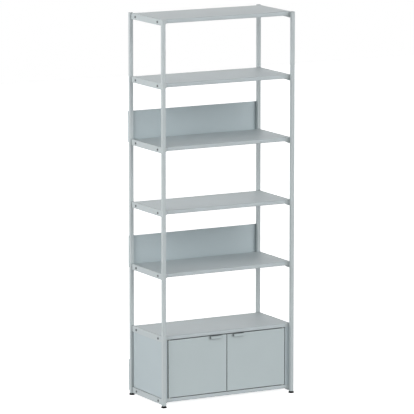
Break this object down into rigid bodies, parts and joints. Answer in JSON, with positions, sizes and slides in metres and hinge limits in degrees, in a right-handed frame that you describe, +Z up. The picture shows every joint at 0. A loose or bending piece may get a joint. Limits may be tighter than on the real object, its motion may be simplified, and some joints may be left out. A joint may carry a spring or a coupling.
{
  "type": "bookcase with cabinet",
  "caption": "Tall powder-coated metal bookcase of square posts and tray shelves, with rear brace boards, a lower cabinet behind two hinged doors and levelling feet.",
  "frame": {"origin": "on the floor, at the middle of the bookcase's width and depth", "axes": "+Z up, -Y out of the front where the doors open, +X to the right as seen from the front"},
  "size_m": [0.8346, 0.4138, 2.148],
  "materials": {
    "frame_paint": "fine matte powder coat, pale grey-blue",
    "shelf_paint": "fine matte powder coat, pale grey-blue",
    "panel_paint": "fine matte powder coat, pale grey-blue",
    "door_paint": "fine matte powder coat, pale grey-blue",
    "plated_steel": "satin zinc plate",
    "pale_nylon": "natural matte nylon",
    "black_plastic": "matte black moulding"
  },
  "bodies": {
    "frame": {"left_front_post": "frame_paint", "right_front_post": "frame_paint", "left_rear_post": "frame_paint", "right_rear_post": "frame_paint", "left_front_post_cap": "frame_paint", "right_front_post_cap": "frame_paint", "left_rear_post_cap": "frame_paint", "right_rear_post_cap": "frame_paint", "left_crossbar_1": "frame_paint", "left_crossbar_2": "frame_paint", "left_crossbar_3": "frame_paint", "left_crossbar_4": "frame_paint", "left_crossbar_5": "frame_paint", "left_crossbar_6": "frame_paint", "left_crossbar_7": "frame_paint", "right_crossbar_1": "frame_paint", "right_crossbar_2": "frame_paint", "right_crossbar_3": "frame_paint", "right_crossbar_4": "frame_paint", "right_crossbar_5": "frame_paint", "right_crossbar_6": "frame_paint", "right_crossbar_7": "frame_paint", "shelf_1": "shelf_paint", "shelf_2": "shelf_paint", "shelf_3": "shelf_paint", "shelf_4": "shelf_paint", "shelf_5": "shelf_paint", "shelf_6": "shelf_paint", "shelf_7": "shelf_paint", "lower_brace_board": "panel_paint", "middle_brace_board": "panel_paint", "upper_brace_board": "panel_paint", "left_side_panel": "panel_paint", "right_side_panel": "panel_paint", "left_stile": "panel_paint", "right_stile": "panel_paint", "cabinet_back": "panel_paint", "left_upper_pivot_bush": "pale_nylon", "left_lower_pivot_bush": "pale_nylon", "right_upper_pivot_bush": "pale_nylon", "right_lower_pivot_bush": "pale_nylon", "magnetic_catch": "black_plastic", "left_front_foot_insert": "black_plastic", "right_front_foot_insert": "black_plastic", "left_rear_foot_insert": "black_plastic", "right_rear_foot_insert": "black_plastic"},
    "left_door_leaf": {"left_door": "door_paint", "left_pull": "door_paint", "left_upper_pivot_pin": "plated_steel", "left_lower_pivot_pin": "plated_steel", "left_strike": "plated_steel"},
    "right_door_leaf": {"right_door": "door_paint", "right_pull": "door_paint", "right_upper_pivot_pin": "plated_steel", "right_lower_pivot_pin": "plated_steel", "right_strike": "plated_steel"},
    "left_front_foot": {"left_front_levelling_foot": "black_plastic"},
    "right_front_foot": {"right_front_levelling_foot": "black_plastic"},
    "left_rear_foot": {"left_rear_levelling_foot": "black_plastic"},
    "right_rear_foot": {"right_rear_levelling_foot": "black_plastic"}
  },
  "joints": [
    {"name": "left_door_hinge", "type": "hinge", "parent": "frame", "child": "left_door_leaf", "pos_m": [-0.358, -0.1689, 0.21], "axis": [0, 0, -1], "range_deg": [0, 105]},
    {"name": "right_door_hinge", "type": "hinge", "parent": "frame", "child": "right_door_leaf", "pos_m": [0.358, -0.1689, 0.21], "axis": [0, 0, 1], "range_deg": [0, 105]},
    {"name": "left_front_foot_height", "type": "slide", "parent": "frame", "child": "left_front_foot", "axis": [0, 0, -1], "range_m": [0, 0.01]},
    {"name": "right_front_foot_height", "type": "slide", "parent": "frame", "child": "right_front_foot", "axis": [0, 0, -1], "range_m": [0, 0.01]},
    {"name": "left_rear_foot_height", "type": "slide", "parent": "frame", "child": "left_rear_foot", "axis": [0, 0, -1], "range_m": [0, 0.01]},
    {"name": "right_rear_foot_height", "type": "slide", "parent": "frame", "child": "right_rear_foot", "axis": [0, 0, -1], "range_m": [0, 0.01]}
  ]
}
